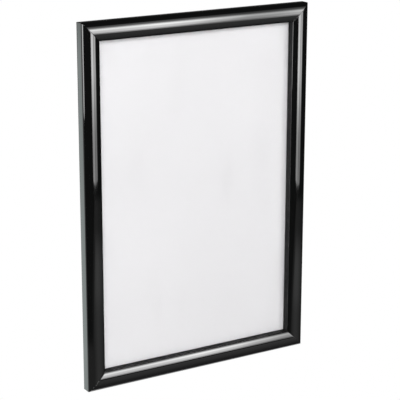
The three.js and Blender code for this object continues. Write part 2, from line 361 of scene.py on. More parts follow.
def clear_glazing(look):
    """Non-glare clear sheet: it spreads what it mirrors and lets nearly all light through."""
    cloudy = 1.06
    f = Finish("non-glare glazing")
    clouds = f.noise(scale=7, detail=3)
    etched = f.noise(scale=900, detail=2)
    smear = f.noise(scale=22, detail=4, stretch=(1, 1, 0.35), roughness=0.6)
    rough = f.spread(clouds, look.glazing_haze, look.glazing_haze * cloudy)
    normal = f.bump(etched, strength=0.1, distance=4 * MICRON)
    inputs = {"Roughness": rough, "Normal": normal, "Color": WHITE}
    gloss = f.add("BsdfAnisotropic", inputs).outputs[0]
    tint = f.shades(f.level(smear, low=0.5, high=0.8), look.glazing_colour, light=0.985)
    through = f.add("BsdfTransparent", {"Color": tint}).outputs[0]
    share = f.add("Fresnel", {"IOR": look.glazing_gloss}).outputs[0]
    return f.show(f.either(share, through, gloss))


def white_paper(look):
    """Uncoated white sheet with faint fibres and a slight waviness."""
    fibre_shade = 0.93
    f = Finish("white insert paper")
    fibres = f.noise(scale=1500, detail=4, stretch=(1, 1, 0.6), roughness=0.65, distortion=0.4)
    clouds = f.noise(scale=5, detail=3)
    wave = f.noise(scale=6, detail=1, stretch=(1, 1, 0.5))
    shade = f.shades(f.spread(clouds), look.paper_colour, dark=0.985)
    shade = f.spots(shade, solid(look.paper_colour, fibre_shade), fibres, low=0.3, high=0.8, share=0.35)
    normal = f.bump(fibres, strength=0.3, distance=40 * MICRON)
    normal = f.bump(wave, strength=0.25, distance=400 * MICRON, normal=normal)
    rough = f.spread(fibres, least=0.78, most=0.9)
    return f.principled(shade, rough, normal, IOR=1.45)


def pressed_board(look):
    """Brown hardboard: matted fibres, darker patches, and a dusty matte skin."""
    f = Finish("pressed hardboard")
    mat = f.noise(scale=420, detail=6, roughness=0.7, distortion=1.2)
    strands = f.noise(scale=260, detail=4, stretch=(3, 1, 0.5), roughness=0.7, distortion=2)
    crossing = f.noise(scale=240, detail=4, stretch=(0.5, 1, 3), roughness=0.7, distortion=2)
    flakes = f.noise(scale=150, detail=5, stretch=(1, 1, 0.7), roughness=0.75, distortion=0.8)
    patches = f.noise(scale=6, detail=5, stretch=(1, 1, 0.35), roughness=0.7)
    specks = f.noise(scale=900, detail=2)
    chips = f.noise(scale=330, detail=1)
    colour = f.shades(f.spread(patches), look.board_colour, dark=0.93, light=1.05)
    # Each layer: its noise, from where to where it shows, how strongly, and how light it is
    for noise, low, high, share, shade in (
        (flakes, 0.42, 0.62, 0.7, 1.3),
        (flakes, 0.46, 0.34, 0.6, 0.72),
        (strands, 0.5, 0.75, 0.55, 1.6),
        (crossing, 0.52, 0.75, 0.5, 0.5),
        (chips, 0.7, 0.76, 0.75, 2.3),
        (specks, 0.66, 0.74, 0.6, 0.3),
    ):
        colour = f.spots(colour, solid(look.board_colour, shade), noise, low, high, share)
    rough = f.spread(mat, least=0.62, most=0.85)
    normal = f.bump(mat, strength=0.6, distance=120 * MICRON)
    normal = f.bump(strands, strength=0.4, distance=100 * MICRON, normal=normal)
    return f.principled(colour, rough, normal, IOR=1.45)


def plated_steel(look, name, colour, rough, brushed):
    """Plated steel: cloudy passivation, fine handling scratches and brighter rubbed edges."""
    rubbed, bright, cloudy = 0.4, 1.2, 0.14
    f = Finish(name)
    clouds = f.noise(scale=260, detail=4, roughness=0.6)
    stain = f.noise(scale=90, detail=3)
    scratches = f.noise(scale=700, detail=3, stretch=brushed, roughness=0.7)
    pits = f.noise(scale=2400, detail=2)
    worn = f.attribute("worn", "Fac")
    shade = f.shades(f.spread(clouds), colour, dark=0.88, light=1.06)
    shade = f.spots(shade, solid(look.zinc_stain), stain, low=0.45, high=0.75, share=0.5)
    shade = f.blend(f.times(worn, rubbed), shade, solid(colour, bright))
    rough = f.spread(clouds, rough, rough + cloudy)
    rough = f.maths("ADD", rough, f.level(scratches, low=0.5, high=0.8, to_high=0.12))
    normal = f.bump(scratches, strength=0.35, distance=20 * MICRON)
    normal = f.bump(pits, strength=0.25, distance=20 * MICRON, normal=normal)
    return f.principled(shade, rough, normal, Metallic=1.0)


def moulded_rubber(look):
    """Soft black rubber with a dull bloom and a fine mould texture."""
    f = Finish("bumper rubber")
    bloom = f.noise(scale=170, detail=4, roughness=0.6)
    texture = f.noise(scale=2200, detail=3)
    shade = f.shades(f.level(bloom, low=0.4, high=0.75), look.rubber_colour, light=2.2)
    rough = f.spread(bloom, least=0.55, most=0.8)
    normal = f.bump(texture, strength=0.4, distance=40 * MICRON)
    return f.principled(shade, rough, normal, IOR=1.52)


def studio_floor(look):
    """Pale floor: the camera sees it near white with the shadow kept, and white at its rim."""
    rim_from, rim_to = 0.45, 0.95
    f = Finish("studio floor")
    where = f.add("TexCoord").outputs["Object"]
    reach = f.add("VectorMath", {0: where}, operation="LENGTH").outputs["Value"]
    rim = f.level(reach, look.floor_radius * rim_from, look.floor_radius * rim_to)
    dust = f.noise(scale=3, detail=4, where=where)
    tone = f.shades(dust, look.floor_colour, dark=0.97)
    card = f.add("BsdfDiffuse", {"Color": tone}).outputs[0]
    white = f.add("Emission", {"Color": WHITE, "Strength": 1.0}).outputs[0]
    path = f.add("LightPath").outputs
    seen = f.largest(path["Is Camera Ray"], path["Is Glossy Ray"])
    seen = f.largest(seen, path["Is Transmission Ray"])
    share = f.times(seen, f.level(rim, 0, 1, look.floor_white, 1, smooth=False))
    return f.show(f.either(share, card, white))


# Settings


def number(name, text, default, **more):
    return FloatProperty(name=name, description=text, default=default, **more)


def length(name, text, default):
    return number(name, text, default, min=0, unit="LENGTH", precision=5)


def share(name, text, default):
    return number(name, text, default, min=0, max=1, subtype="FACTOR")


def power(name, text, default):
    return number(name, text, default, unit="POWER")


def angle(name, text, degrees):
    return number(name, text, radians(degrees), subtype="ANGLE")


def vector(name, text, default, **more):
    return FloatVectorProperty(name=name, description=text, default=default, **more)


def place(name, text, default):
    return vector(name, text, default, subtype="TRANSLATION")


def size(name, text, default):
    return vector(name, text, default, size=2, min=0, unit="LENGTH")


def colour(name, text, default):
    return vector(name, text, default, subtype="COLOR", min=0, max=1)


class RailSettings(bpy.types.PropertyGroup):
    """Sizes and colours of the moulding."""

    width: length("Width", "Face width of the moulding", RAIL_HIGH.x - RAIL_LOW.x)
    depth: length("Depth", "Depth of the moulding, rear to crown", REAR_PLANE - RAIL_LOW.y)
    rebate_depth: length("Rebate depth", "Depth of the sheets' rebate", REAR_PLANE - SEAT_PLANE)
    rebate_width: length("Rebate width", "Width of the rebate behind the sight edge", 7 * MM)
    crown_radius: length("Crown radius", "Radius of the crowned face", 48 * MM)
    shoulder_radius: length("Shoulder radius", "Radius of the outer shoulder", 5.5 * MM)
    sight_radius: length("Sight edge radius", "Radius of the round at the sight edge", 1.4 * MM)
    corner_radius: length("Corner radius", "Radius of the rear corners", 0.3 * MM)
    mitre_gap: length("Mitre gap", "Open line between two rails at a mitre", 0.06 * MM)
    mitre_round: length("Mitre round", "Radius of the eased edge along a mitre", 0.3 * MM)
    rear_lift: length("Rear lift", "How far the V-nails stand proud of the rear", 0.05 * MM)
    face_steps: IntProperty(name="Face steps", description="Facets across the face", default=56, min=8)
    roughness: share("Roughness", "Roughness of the gloss face", 0.026)
    colour: colour("Colour", "Colour of the gloss face", (0.0026, 0.0028, 0.0028))
    worn_colour: colour("Worn colour", "Colour where edges have rubbed", (0.03, 0.03, 0.031))
    bare_colour: colour("Rear colour", "Colour of the rear and rebate", (0.012, 0.012, 0.0125))


class SheetSettings(bpy.types.PropertyGroup):
    """Colours of the sheets in the rebate."""

    glazing_haze: share("Glazing haze", "Roughness of the non-glare glazing", 0.5)
    glazing_gloss: number("Glazing gloss", "Index of the glazing's mirroring", 1.28, min=1)
    glazing_colour: colour("Glazing colour", "Light that the glazing passes", (0.978, 0.976, 0.981))
    paper_colour: colour("Paper colour", "Colour of the insert sheet", (0.87, 0.87, 0.868))
    board_colour: colour("Board colour", "Colour of the backing board", (0.235, 0.125, 0.066))


class HardwareSettings(bpy.types.PropertyGroup):
    """Sizes and colours of the rear hardware."""

    button_radius: length("Button radius", "Radius of a turn button round its screw", 5.98 * MM)
    tip_radius: length("Tip radius", "Radius of a turn button's tip", 4 * MM)
    button_reach: length("Button reach", "From a turn button's pivot to its tip", 20 * MM)
    rib_height: length("Rib height", "Height of the rib on a turn button", 0.35 * MM)
    head_radius: length("Screw head radius", "Radius of a screw head", 3 * MM)
    head_height: length("Screw head height", "Height of a screw head", 2 * MM)
    shank_radius: length("Screw radius", "Radius of a screw's shank", 1.5 * MM)
    recess_reach: length("Recess reach", "Half length of the cross recess", 1.6 * MM)
    recess_depth: length("Recess depth", "Depth of the cross recess", 1.2 * MM)
    strap_thickness: length("Strap thickness", "Thickness of a hanger strap", 1 * MM)
    wire_radius: length("Wire radius", "Radius of a D-ring's wire", 1.14 * MM)
    ring_half_width: length("Ring half width", "From a D-ring's middle to its wire's", 8.2 * MM)
    ring_leg: length("Ring leg", "Straight part of a D-ring's sides", 4 * MM)
    ring_corner: length("Ring corner", "Radius of a D-ring's upper corners", 2 * MM)
    edge_round: length("Edge round", "Radius of the stamped edges", 0.18 * MM)
    zinc_colour: colour("Zinc colour", "Colour of the zinc plating", (0.5, 0.51, 0.53))
    zinc_stain: colour("Zinc stain", "Warm tint in the zinc plating", (0.5, 0.46, 0.37))
    nickel_colour: colour("Nickel colour", "Colour of the D-rings", (0.56, 0.54, 0.5))
    nail_colour: colour("Nail colour", "Colour of the V-nails", (0.42, 0.43, 0.45))
    rubber_colour: colour("Rubber colour", "Colour of the bumpers", (0.018, 0.018, 0.019))


class StudioSettings(bpy.types.PropertyGroup):
    """Camera, lamps and floor."""

    lens: number("Lens", "Focal length for the camera's sensor", 135.663, unit="CAMERA")
    camera_place: place("Camera place", "Where the camera stands", (-1.34737, -2.26267, 0.74515))
    camera_yaw: angle("Camera yaw", "Turn of the camera to the right of +Y", 31.08)
    camera_pitch: angle("Camera pitch", "How far the camera looks down", 16.08)
    camera_roll: angle("Camera roll", "Lean of the camera", 0.09)
    floor_drop: length("Floor drop", "From the frame's middle down to the floor", 1.8)
    floor_back: length("Floor back", "From the frame back to the floor's middle", 1.0)
    floor_radius: length("Floor radius", "Radius of the floor", 1.9)
    floor_white: share("Floor white", "How near to white the camera sees the floor", 0.55)
    floor_colour: colour("Floor colour", "Colour of the floor", (0.86, 0.86, 0.86))
    key_place: place("Key place", "Middle of the large panel at the right", (4.052, -6.311, -0.05))
    key_size: size("Key size", "Size of the large panel", (2.9, 4.0))
    key_power: power("Key power", "Power of the large panel", 250)
    side_place: place("Side place", "Middle of the panel at the left", (-3.66, -1.33, 0.505))
    side_size: size("Side size", "Size of the left panel", (2.6, 2.46))
    side_power: power("Side power", "Power of the left panel", 70)
    front_place: place("Front place", "Middle of the panel above the front", (-1.4, -4.0, 1.75))
    front_size: size("Front size", "Size of the front panel", (4.4, 2.1))
    front_power: power("Front power", "Power of the front panel", 188)
    rear_place: place("Rear place", "Middle of the low rear panel", (-0.93, 1.44, -0.47))
    rear_size: size("Rear size", "Size of the low rear panel", (0.6, 1.3))
    rear_power: power("Rear power", "Power of the low rear panel", 1.9)
    rear_colour: colour("Rear tint", "Tint of the low rear panel", (0.87, 1.0, 0.975))
    back_place: place("Back place", "Middle of the high rear panel", (-1.6, 3.1, 2.0))
    back_size: size("Back size", "Size of the high rear panel", (2.0, 1.4))
    back_power: power("Back power", "Power of the high rear panel", 70)
    ambient_light: share("Ambient light", "Even light that all sides get", 0.2)
    room_light: share("Room light", "What gloss mirrors of the room in front", 0.0145)
    backdrop_light: share("Backdrop light", "What gloss mirrors of the backdrop", 0.27)
    floor_glow: share("Floor glow", "What gloss mirrors of the floor by the large panel", 0.16)
    near_glow: share("Near glow", "What gloss mirrors of the floor close by", 0.066)


# Pieces


def moulding_section(look):
    """The moulding's section: across from its outer edge and forward from its rear."""
    wall_end, shoulder_steps, sight_steps = 0.97, 20, 12
    crown = (look.width / 2, look.depth - look.crown_radius)

    def under_crown(x, radius):
        """The middle of an arc that meets the crown from inside, and its bearing there."""
        y = crown[1] + sqrt((look.crown_radius - radius) ** 2 - (x - crown[0]) ** 2)
        return (x, y), atan2(y - crown[1], x - crown[0])

    shoulder, shoulder_turn = under_crown(look.shoulder_radius, look.shoulder_radius)
    sight, sight_turn = under_crown(look.width - look.sight_radius, look.sight_radius)
    rear = (look.width - look.rebate_width, look.rear_lift)
    foot = (0, look.rear_lift)
    seat = (rear[0], look.rebate_depth)
    points = rounded_corner(rear, foot, (0, shoulder[1]), look.corner_radius)
    points.append(Vector((0, shoulder[1] * wall_end)))
    points += arc(shoulder, look.shoulder_radius, pi, shoulder_turn, shoulder_steps)
    points += arc(crown, look.crown_radius, shoulder_turn, sight_turn, look.face_steps)[1:]
    points += arc(sight, look.sight_radius, sight_turn, 0, sight_steps)[1:]
    points.append(Vector((look.width, sight[1] * wall_end)))
    lip = (look.width, look.rebate_depth)
    points += rounded_corner((look.width, sight[1]), lip, seat, look.corner_radius)
    points.append(Vector(seat))
    return points + rounded_corner(seat, rear, foot, look.corner_radius)


def is_bare(look, point):
    """Whether a place on the section lies behind the sight edge, where it isn't polished."""
    rear_margin, rebate_margin, wall_margin = 0.2 * MM, 0.1 * MM, 0.01 * MM
    seat = look.rebate_depth + look.corner_radius
    past_rebate = point.x > look.width - look.rebate_width - rebate_margin
    on_wall = point.x > look.width - wall_margin
    return point.y < rear_margin or (past_rebate and point.y < seat) or on_wall


def rail_stations(look):
    """Where a rail's sections lie: which end, how far in from its mitre, and how much smaller."""
    steps, lines = 5, (1 * MM, 4 * MM, 12 * MM)
    stations = []
    for lean in quarter_turn(steps):
        inset = look.mitre_round * (1 - cos(lean))
        stations.append((-1, inset, look.mitre_round * (1 - sin(lean))))
    stations += [(-1, inset, 0) for inset in lines]
    return stations + [(1, inset, shrink) for _, inset, shrink in reversed(stations)]


def build_rail(look, side, rail_length, turn, middle, gloss, bare):
    """One mitred rail, with its edges eased along the mitres."""
    outline = moulding_section(look)
    normals = outward_normals(outline)
    bm = bmesh.new()
    grain = bm.verts.layers.float_vector.new("grain")
    grain_shift = len(side)
    across = [0.0]
    for i in range(1, len(outline)):
        across.append(across[-1] + (outline[i] - outline[i - 1]).length)
    gap = look.mitre_gap / sqrt(2)
    rings = []
    for end, inset, shrink in rail_stations(look):
        ring = []
        for i, point in enumerate(outline):
            spot = point - normals[i] * shrink
            along = end * (rail_length / 2 - spot.x - gap - inset)
            vertex = bm.verts.new((along, -spot.y, -spot.x))
            vertex[grain] = (along, across[i], grain_shift)
            ring.append(vertex)
        rings.append(ring)
    bridge_rings(bm, rings)
    count = len(outline)
    for k, face in enumerate(bm.faces):
        point = (outline[k % count] + outline[(k + 1) % count]) / 2
        face.material_index = 1 if is_bare(look, point) else 0
    bm.faces.new(rings[0])
    bm.faces.new(rings[-1])
    name, node = f"moulding_{side}", f"rail_{side}"
    rail = make_piece(name, bm, gloss, "frame", node, middle, crease=50, turn=turn)
    rail.data.materials.append(bare)


def build_button(look, label, material):
    """A stamped turn button: a teardrop plate with a pressed rib and softened edges."""
    # The rib from its foot to its crest: half length, half breadth, and share of its height
    rib_steps = ((6.2, 1.75, 0), (5.6, 1.25, 0.45), (5.0, 0.75, 0.9), (4.4, 0.3, 1))
    rib_place, rib_shift = 0.52, 0.9 * MM
    head_steps, tip_steps = 48, 24
    node, body = f"turn_button_{label}", f"button_{label}"
    low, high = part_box(node)
    pivot = PIVOTS[body]
    middle = (low + high) / 2
    toward = Vector((middle.x - pivot.x, 0, middle.z - pivot.z)).normalized()
    turn = atan2(toward.x, toward.z) - pi
    tip = look.button_reach - look.tip_radius
    flank = asin((look.button_radius - look.tip_radius) / tip)
    outline = arc((0, 0), look.button_radius, -flank, pi + flank, head_steps)
    outline += arc((0, -tip), look.tip_radius, pi + flank, 2 * pi - flank, tip_steps)
    normals = outward_normals(outline)
    half, edge = (high.y - low.y) / 2, look.edge_round
    bm = bmesh.new()
    rings = []
    for y, shrink in ((-half, edge), (-half + edge, 0), (half - edge, 0), (half, edge)):
        ring = [p - n * shrink for p, n in zip(outline, normals)]
        rings.append([bm.verts.new((p.x, y, p.y)) for p in ring])
    bridge_rings(bm, rings)
    bm.faces.new(rings[0])
    centre = Vector((0, -tip * rib_place))
    rib_rings = []
    for reach, breadth, lift in rib_steps:
        height = half + look.rib_height * lift
        ring = []
        for p in outline:
            away = p - centre
            bearing = atan2(away.x, -away.y)
            spot = Vector((sin(bearing) * breadth * MM, -cos(bearing) * reach * MM))
            ring.append(bm.verts.new((centre.x + spot.x, height, centre.y - rib_shift + spot.y)))
        rib_rings.append(ring)
    bridge_rings(bm, [rings[-1], *rib_rings])
    bm.faces.new(rib_rings[-1])
    name, where = f"stamped_button_{label}", (pivot.x, middle.y, pivot.z)
    make_piece(name, bm, material, body, node, where, crease=50, turn=turn)


def recess_sink(look, x, z):
    """How deep the tapered cross recess is at a place on a screw head."""
    slot_share, slot_root, taper = 0.28, 1.15, 0.45
    web_share, web_slope, wall_width = 1.5, 0.8, 0.14 * MM
    reach, arm = max(abs(x), abs(z)), min(abs(x), abs(z))
    breadth = look.recess_reach * slot_share
    inside = breadth * (slot_root - taper * reach / look.recess_reach) - arm
    inside = min(inside, look.recess_reach - reach)
    web = max(0.0, breadth * web_share - hypot(x, z))
    inside = max(inside, web * web_slope)
    wall = min(1.0, max(0.0, inside / wall_width))
    return wall * look.recess_depth * (1 - taper * min(1, reach / look.recess_reach))


def screw_profile(look, shank, radius, height):
    """A screw as (radius, y) points: its tip, thread, neck and domed head with a flat top."""
    tip_radius, tip_height, taper_length = 0.12 * MM, 0.1 * MM, 2.5 * MM
    turns, room_in_turns = 18, 20
    plain, first, neck_length = 1.2 * MM, 0.8 * MM, 0.6 * MM
    root, crest, neck = [look.shank_radius * share for share in (0.72, 0.99, 0.8)]
    underside, edge, rim, flat = 0.96, 0.06, 0.32, 0.58
    dome_steps, flat_steps = 8, 26
    pitch = (shank - plain) / room_in_turns
    profile = [(0.0, -shank), (tip_radius, -shank + tip_height)]
    for i in range(turns):
        y = -shank + first + i * pitch
        taper = min(1, (y + shank) / taper_length)
        profile += [(root * taper, y), (crest * taper, y + pitch / 2)]
    profile += [(neck, -neck_length), (neck, 0.0)]
    profile += [(radius * underside, 0.0), (radius, edge * height), (radius, rim * height)]
    for lean in quarter_turn(dome_steps)[1:]:
        out, up = flat + (1 - flat) * cos(lean), rim + (1 - rim) * sin(lean)
        profile.append((radius * out, height * up))
    profile += [(radius * flat * (1 - i / flat_steps), height) for i in range(1, flat_steps)]
    return profile + [(0.0, height)]


def head_turn(name):
    """How far a screw happens to be turned, fixed by its name."""
    step, count = 17, 9
    letters = sum((i + 1) * ord(letter) for i, letter in enumerate(name))
    return radians(step * (letters % count))


def build_screw(look, node, material):
    """A pan-head screw with a cross recess, a threaded shank and a point."""
    sides, fit, top = 64, 0.998, 0.99
    low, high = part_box(node)
    axis = Vector(((low.x + high.x) / 2, high.y - look.head_height, (low.z + high.z) / 2))
    shank = high.y - look.head_height - low.y
    height = look.head_height * fit
    bm = bmesh.new()
    turned(bm, screw_profile(look, shank, look.head_radius * fit, height), sides)
    for vertex in bm.verts:
        if vertex.co.y > height * top:
            vertex.co.y -= recess_sink(look, vertex.co.x, vertex.co.z)
    name, turn = f"pan_{node}", head_turn(node)
    make_piece(name, bm, material, "frame", node, axis, crease=38, turn=turn)


def strap_stations(look, eye, foot, half_width):
    """Along a strap from the roll's end to the foot: place, outward lean and half width."""
    roll, roll_steps, leaf_steps, foot_steps = 290, 40, 8, 12
    foot_length, least_width = 0.999, 0.02
    path = []
    for i in range(roll_steps + 1):
        lean = radians(180 - roll * (1 - i / roll_steps))
        path.append((Vector((eye * cos(lean), eye * sin(lean))), lean, half_width))
    for i in range(1, leaf_steps + 1):
        path.append((Vector((-eye, foot * i / leaf_steps)), pi, half_width))
    for lean in quarter_turn(foot_steps)[1:]:
        reach = half_width * sin(lean) * foot_length
        half = half_width * max(least_width, cos(lean))
        path.append((Vector((-eye, foot - reach)), pi, half))
    return path


def build_strap(look, side, material):
    """A hanger strap: a leaf with a round foot that rolls over the D-ring into an eye."""
    node = f"hanger_strap_{side}"
    low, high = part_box(node)
    axis = PIVOTS[f"ring_{side}"]
    half_width = (high.x - low.x) / 2
    half_thickness, soft = look.strap_thickness / 2, look.edge_round
    eye = axis.y - (low.y + half_thickness)
    foot = low.z + half_width - axis.z
    corner_steps, most_bend = 3, 0.4
    bm = bmesh.new()
    rings = []
    for spot, lean, half in strap_stations(look, eye, foot, half_width):
        out = Vector((cos(lean), sin(lean)))
        bend = min(soft, half * most_bend)
        ring = []
        for cx, cy in ((-1, -1), (1, -1), (1, 1), (-1, 1)):
            for lift in quarter_turn(corner_steps):
                turn = atan2(cy, cx) - pi / 4 + lift
                rise = cy * (half_thickness - soft) + soft * sin(turn)
                corner = spot + out * rise
                x = cx * (half - bend) + bend * cos(turn)
                ring.append(bm.verts.new((x, corner.x, corner.y)))
        rings.append(ring)
    bridge_rings(bm, rings)
    bm.faces.new(rings[0])
    bm.faces.new(rings[-1])
    where = ((low.x + high.x) / 2, axis.y, axis.z)
    make_piece(f"rolled_strap_{side}", bm, material, "frame", node, where, crease=60)


def bend_stations(x, z, radius, leans):
    """Along a bend of the wire: its middle's place, and the lean of its outer side."""
    return [(x + radius * cos(lean), z + radius * sin(lean), lean) for lean in leans]


def build_ring(look, side, material):
    """A D-ring bent from round wire, with its butt joint on the straight bar."""
    sides, corner_steps, bow_steps = 28, 12, 60
    joint, pinch = 0.12 * MM, 0.93
    half, corner, quarter = look.ring_half_width, look.ring_corner, pi / 2
    inner = half - corner
    right = [quarter * (1 - i / corner_steps) for i in range(corner_steps + 1)]
    left = [pi - quarter * i / corner_steps for i in range(corner_steps + 1)]
    bow = [-pi * i / bow_steps for i in range(bow_steps + 1)]
    stations = bend_stations(inner, -corner, corner, right)
    stations += bend_stations(0, -look.ring_leg, half, bow)
    stations += bend_stations(-inner, -corner, corner, left)
    stations += [(x, 0.0, quarter) for x in (-inner / 2, -joint, joint, inner / 2)]
    bm = bmesh.new()
    rings = []
    for x, z, lean in stations:
        radius = look.wire_radius * (pinch if z == 0 and abs(x) <= joint else 1)
        across, up = cos(lean), sin(lean)
        spots = [(x + out * across, y, z + out * up) for out, y in circle(radius, sides)]
        rings.append([bm.verts.new(spot) for spot in spots])
    bridge_rings(bm, rings, closed=True)
    body, node = f"ring_{side}", f"hanger_ring_{side}"
    name, axis = f"wire_ring_{side}", PIVOTS[body]
    make_piece(name, bm, material, body, node, axis, crease=60)


def build_bumper(look, side, material):
    """A moulded bumper: a low flange, a domed edge and a slight dimple on the wall side."""
    # Shares of the radius, with the height above the rail or the depth below the top
    flange = ((0.97, 0), (1, 0.12), (1, 0.9), (0.955, 1.15), (0.94, 1.6))
    dimple = ((0.5, 0.03), (0.35, 0.25), (0.2, 0.38), (0, 0.42))
    edge, edge_steps, sides = 2.4 * MM, 12, 64
    node = f"wall_bumper_{side}"
    low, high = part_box(node)
    radius, height = (high.x - low.x) / 2, high.y - low.y
    inner = radius * flange[-1][0]
    profile = [(0.0, 0.0)] + [(radius * out, up * MM) for out, up in flange]
    for lean in quarter_turn(edge_steps):
        out, up = edge * cos(lean), edge * sin(lean)
        profile.append((inner - edge + out, height - edge + up))
    profile += [(inner * out, height - down * MM) for out, down in dimple]
    bm = bmesh.new()
    turned(bm, profile, sides)
    where = ((low.x + high.x) / 2, low.y, (low.z + high.z) / 2)
    name = f"rubber_foot_{side}"
    make_piece(name, bm, material, "frame", node, where, crease=50)


# Stage

# How bright a panel is, as (place, level) stops from its foot up and from its side across
KEY_UPWARD = (
    (0, 0.26), (0.05, 0.25), (0.085, 0.27), (0.12, 0.36), (0.16, 0.5), (0.2, 0.64), (0.3, 0.62),
    (0.42, 0.76), (0.53, 1), (0.59, 0.82), (0.65, 0.5), (0.77, 0.13), (0.9, 0.07), (1, 0),
)
KEY_ACROSS = (
    (0, 0.8), (0.1, 0.85), (0.2, 0.87), (0.32, 1), (0.39, 0.88), (0.46, 0.62), (0.53, 0.42),
    (0.58, 0.43), (0.66, 0.62), (0.8, 0.66), (0.92, 0.36), (1, 0.2),
)
SOFT_UPWARD = ((0, 0.75), (0.25, 1), (0.8, 0.9), (1, 0.3))
EVEN_ACROSS = ((0, 1), (1, 1))

# Where the room that gloss mirrors changes, in degrees: bearings from -Y, and rises
PANEL_LEFT, PANEL_MIDDLE, PANEL_RIGHT, PANEL_EDGE = -4, 34, 80, 27
FLOOR_TOP, FLOOR_FOOT = (-18.6, -16.4), (-50, -22)
FLOOR_LINE, FLOOR_LINE_LEVEL, FLOOR_SLOPE = (-16.2, -15.8), 0.3, 0.2
FLOOR_BRIGHT, FLOOR_BRIGHT_LEVEL = (-20.4, -19.4), 1.5
NEAR_TOP, NEAR_FOOT = (-21.8, -21.2), (-45, -26)
BACKDROP_FOOT = (-4, 6)
# The share of a direction along +Y where the backdrop fades in
BACKDROP_SIDE = (-0.05, 0.3)

FLOOR_SIDES = 96
SENSOR_WIDTH = 36
CLIP_START, CLIP_END = 0.05, 60


def add_panel(look, name, upward=SOFT_UPWARD, across=EVEN_ACROSS):
    """A soft panel lamp that faces the frame and that the camera doesn't see."""
    lamp = bpy.data.lights.new(name, "AREA")
    lamp.shape = "RECTANGLE"
    lamp.size, lamp.size_y = getattr(look, f"{name}_size")
    lamp.energy = getattr(look, f"{name}_power")
    lamp.use_nodes = True
    f = Nodes(lamp.node_tree)
    place = f.add("NewGeometry").outputs["Parametric"]
    parts = f.add("SeparateXYZ", {0: place}).outputs
    strength = f.times(f.ramp(parts["Y"], upward), f.ramp(parts["X"], across))
    light = f.add("Emission", {"Color": WHITE, "Strength": strength}).outputs[0]
    f.add("OutputLight", {"Surface": light})
    holder = add_object(name, lamp)
    spot = Vector(getattr(look, f"{name}_place"))
    facing = (-spot).to_track_quat("-Z", "Y").to_matrix().to_4x4()
    holder.matrix_world = Matrix.Translation(spot) @ facing
    holder.visible_camera = False
    return lamp


def light_room(look):
    """White to the camera, an even light on all sides, and a dim room for gloss to mirror."""
    world = bpy.data.worlds.new("studio room")
    bpy.context.scene.world = world
    world.use_nodes = True
    f = Nodes(world.node_tree)
    toward = f.add("TexCoord").outputs["Generated"]
    parts = f.add("SeparateXYZ", {0: toward}).outputs
    bearing = f.maths("DEGREES", f.maths("ARCTAN2", parts["X"], f.times(parts["Y"], -1)))
    rise = f.maths("DEGREES", f.maths("ARCSINE", parts["Z"]))
    behind = f.times(f.level(parts["Y"], *BACKDROP_SIDE), f.level(rise, *BACKDROP_FOOT, 1, 0))
    backdrop = f.times(behind, look.backdrop_light)
    left_of_panel = f.largest(f.maths("SUBTRACT", PANEL_EDGE, bearing), 0)
    depth = f.maths("ADD", rise, f.times(left_of_panel, FLOOR_SLOPE))
    below = f.times(f.level(depth, *FLOOR_TOP, 1, 0), f.level(rise, *FLOOR_FOOT))
    below = f.largest(below, f.level(depth, *FLOOR_LINE, FLOOR_LINE_LEVEL, 0))
    below = f.times(below, f.level(rise, *FLOOR_BRIGHT, 1, FLOOR_BRIGHT_LEVEL))
    rising = f.level(bearing, PANEL_LEFT, PANEL_MIDDLE)
    by_panel = f.times(rising, f.level(bearing, PANEL_MIDDLE, PANEL_RIGHT, 1, 0))
    glow = f.times(f.times(by_panel, below), look.floor_glow)
    near = f.times(f.level(rise, *NEAR_TOP, look.near_glow, 0), f.level(rise, *NEAR_FOOT))
    glow = f.largest(glow, near)
    mirrored = f.maths("ADD", f.maths("ADD", backdrop, glow), look.room_light)
    path = f.add("LightPath").outputs
    even, room, white = [
        f.add("Background", {"Color": WHITE, "Strength": strength}).outputs[0]
        for strength in (look.ambient_light, mirrored, 1.0)
    ]
    lit = f.either(path["Is Glossy Ray"], even, room)
    seen = f.largest(path["Is Camera Ray"], path["Is Transmission Ray"])
    f.add("OutputWorld", {"Surface": f.either(seen, lit, white)})


def lay_floor(look):
    """A round pale floor under the frame."""
    bm = bmesh.new()
    rim = arc((0, 0), look.floor_radius, 0, 2 * pi, FLOOR_SIDES)[:-1]
    bm.faces.new([bm.verts.new((p.x, p.y, 0)) for p in rim])
    floor = add_object("floor", mesh_from("floor", bm))
    floor.data.materials.append(studio_floor(look))
    floor.location = (0, look.floor_back, -look.floor_drop)


def aim_camera(look):
    """Stands the camera to the left of the frame and above it, where the photo was taken."""
    camera = add_object("camera", bpy.data.cameras.new("camera"))
    camera.data.lens = look.lens
    camera.data.sensor_width = SENSOR_WIDTH
    camera.data.clip_start, camera.data.clip_end = CLIP_START, CLIP_END
    yaw = Matrix.Rotation(-look.camera_yaw, 4, "Z")
    pitch = Matrix.Rotation(pi / 2 - look.camera_pitch, 4, "X")
    roll = Matrix.Rotation(look.camera_roll, 4, "Z")
    camera.matrix_world = Matrix.Translation(look.camera_place) @ (yaw @ pitch @ roll)
    bpy.context.scene.camera = camera


# Operators


class POSTERFRAME_OT_rails(bpy.types.Operator):
    """Build the four mitred rails of gloss black moulding"""

    bl_idname = "posterframe.rails"
    bl_label = "Rails"

    def execute(self, context):
        look = context.scene.poster_rails
        finishes = gloss_black(look), bare_black(look)
        width, height, quarter = OUTER_WIDTH, OUTER_HEIGHT, pi / 2
        for side, rail_length, turn, x, z in (
            ("top", width, 0, 0, height / 2),
            ("bottom", width, pi, 0, -height / 2),
            ("left", height, -quarter, -width / 2, 0),
            ("right", height, quarter, width / 2, 0),
        ):
            build_rail(look, side, rail_length, turn, (x, REAR_PLANE, z), *finishes)
        return {"FINISHED"}


